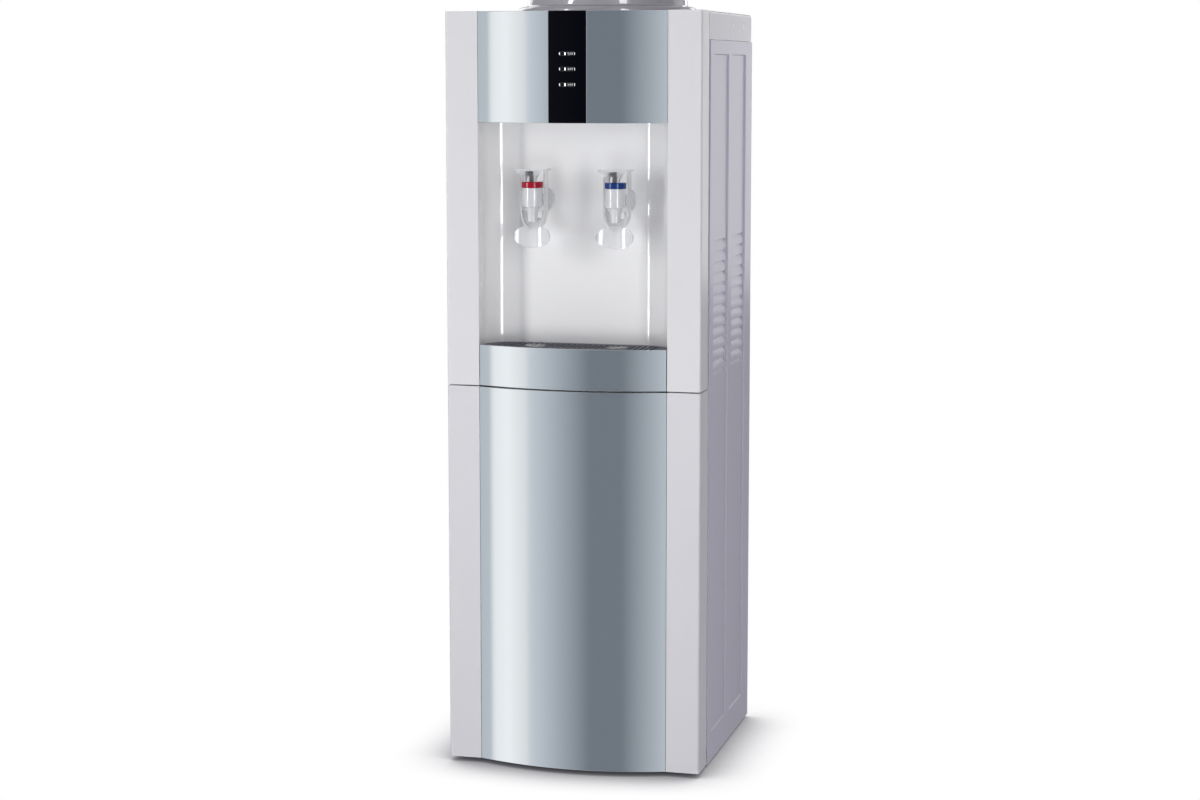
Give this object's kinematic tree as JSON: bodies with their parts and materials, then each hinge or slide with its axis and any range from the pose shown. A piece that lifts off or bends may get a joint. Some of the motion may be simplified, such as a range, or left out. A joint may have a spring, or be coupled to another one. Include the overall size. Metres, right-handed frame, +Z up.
{
  "type": "water cooler",
  "caption": "Floor-standing top-loading water cooler: bowed silver front, white dispensing alcove with hot and cold lever taps, drip tray, hinged lower door and louvred steel sides.",
  "frame": {"origin": "on the floor, under the middle of the bounding box", "axes": "+Z up, -Y out of the front with the taps, +X to the right as seen from the front"},
  "size_m": [0.323, 0.3266, 0.96],
  "materials": {
    "pillar_plastic": "satin moulded ABS, light grey",
    "white_plastic": "gloss white moulding",
    "silver_plastic": "silver film under a clear gloss coat",
    "black_acrylic": "gloss black",
    "clear_plastic": "frosted clear lens",
    "circuit_board": "solder mask",
    "dark_grey_plastic": "fine texture",
    "grey_rubber": "matte",
    "black_rubber": "matte",
    "zinc_steel": "zinc plated",
    "painted_steel": "satin powder coat, lavender grey",
    "back_steel": "grey coated sheet",
    "cover_plastic": "satin grey moulding",
    "stainless": "drawn stainless",
    "insulation": "expanded foam",
    "copper": "drawn copper",
    "silicone": "silicone hose",
    "black_steel": "black enamel",
    "black_plastic": "moulded",
    "screw_steel": "bright",
    "rocker_red": "gloss",
    "rocker_green": "gloss",
    "tap_white": "gloss",
    "tap_clear": "gloss, slightly translucent",
    "tap_stem": "gloss",
    "tap_red": "gloss",
    "tap_blue": "gloss"
  },
  "bodies": {
    "cabinet": {"alcove": "white_plastic", "back_panel": "back_steel", "back_panel_screws": "screw_steel", "base_plate": "zinc_steel", "cabinet_liner": "white_plastic", "cold_tank": "stainless", "cold_tank_foam": "insulation", "cold_tap_body": "tap_white", "cold_tap_bonnet": "tap_blue", "cold_tap_spring": "screw_steel", "compressor": "black_steel", "compressor_mounts": "black_rubber", "compressor_relay": "black_plastic", "condenser": "black_steel", "control_fascia": "silver_plastic", "drain_spout": "white_plastic", "evaporator_coil": "copper", "feet": "black_rubber", "filter_dryer": "copper", "heater_band": "stainless", "hot_tank": "stainless", "hot_tank_jacket": "insulation", "hot_tap_body": "tap_white", "hot_tap_bonnet": "tap_red", "hot_tap_spring": "screw_steel", "indicator_lenses": "clear_plastic", "indicator_strip": "black_acrylic", "led_board": "circuit_board", "lower_hinge_bracket": "zinc_steel", "mains_gland": "black_plastic", "mid_deck": "zinc_steel", "refrigerant_lines": "copper", "side_panel_left": "painted_steel", "side_panel_right": "painted_steel", "switch_housing": "black_plastic", "tank_baffle": "white_plastic", "tap_nuts": "white_plastic", "thermostats": "black_plastic", "top_cover": "cover_plastic", "upper_front_frame": "pillar_plastic", "upper_hinge_pin": "zinc_steel", "upper_shelf": "zinc_steel", "water_hoses": "silicone"},
    "door": {"door_frame": "pillar_plastic", "door_panel": "silver_plastic", "door_liner": "white_plastic", "door_gasket": "grey_rubber"},
    "tray": {"drip_tray": "dark_grey_plastic", "tray_fascia": "silver_plastic"},
    "grille": {"drip_grille": "dark_grey_plastic"},
    "bottle_seat": {"bottle_collar": "cover_plastic", "seat_funnel": "white_plastic", "feed_probe": "white_plastic"},
    "hot_stem": {"hot_tap_stem": "tap_stem"},
    "hot_lever": {"hot_tap_lever": "tap_clear"},
    "cold_stem": {"cold_tap_stem": "tap_stem"},
    "cold_lever": {"cold_tap_lever": "tap_clear"},
    "hot_rocker": {"hot_switch_rocker": "rocker_red"},
    "cold_rocker": {"cold_switch_rocker": "rocker_green"},
    "drain_cap_body": {"drain_cap": "white_plastic"}
  },
  "joints": [
    {"name": "door_hinge", "type": "hinge", "parent": "cabinet", "child": "door", "pos_m": [0.1515, -0.106, 0.2435], "axis": [0, 0, 1], "range_deg": [0, 105]},
    {"name": "tray_slide", "type": "slide", "parent": "cabinet", "child": "tray", "axis": [0, -1, 0], "range_m": [0, 0.075]},
    {"name": "grille_lift", "type": "slide", "parent": "tray", "child": "grille", "axis": [0, 0, 1], "range_m": [0, 0.03]},
    {"name": "bottle_seat_lift", "type": "slide", "parent": "cabinet", "child": "bottle_seat", "axis": [0, 0, 1], "range_m": [0, 0.08]},
    {"name": "hot_stem_lift", "type": "slide", "parent": "cabinet", "child": "hot_stem", "axis": [0, 0, 1], "range_m": [0, 0.003], "deforming": ["hot_tap_spring"]},
    {"name": "hot_lever_tilt", "type": "hinge", "parent": "hot_stem", "child": "hot_lever", "pos_m": [-0.0526, -0.1337, 0.7445], "axis": [1, 0, 0], "range_deg": [0, 18], "stiffness_Nm_per_rad": 0.0547, "springref_deg": -17.99},
    {"name": "cold_stem_lift", "type": "slide", "parent": "cabinet", "child": "cold_stem", "axis": [0, 0, 1], "range_m": [0, 0.003], "deforming": ["cold_tap_spring"]},
    {"name": "cold_lever_tilt", "type": "hinge", "parent": "cold_stem", "child": "cold_lever", "pos_m": [0.0526, -0.1337, 0.7445], "axis": [1, 0, 0], "range_deg": [0, 18], "stiffness_Nm_per_rad": 0.0547, "springref_deg": -17.99},
    {"name": "hot_switch_tilt", "type": "hinge", "parent": "cabinet", "child": "hot_rocker", "pos_m": [-0.082, 0.131, 0.86], "axis": [1, 0, 0], "range_deg": [-16, 0]},
    {"name": "cold_switch_tilt", "type": "hinge", "parent": "cabinet", "child": "cold_rocker", "pos_m": [-0.058, 0.131, 0.86], "axis": [1, 0, 0], "range_deg": [-16, 0]},
    {"name": "drain_cap_off", "type": "slide", "parent": "cabinet", "child": "drain_cap_body", "axis": [0, 1, 0], "range_m": [0, 0.02]}
  ],
  "couplings": [
    {"joint": "hot_stem_lift", "follows": "hot_lever_tilt", "m_per_rad": 0.009549},
    {"joint": "cold_stem_lift", "follows": "cold_lever_tilt", "m_per_rad": 0.009549}
  ]
}
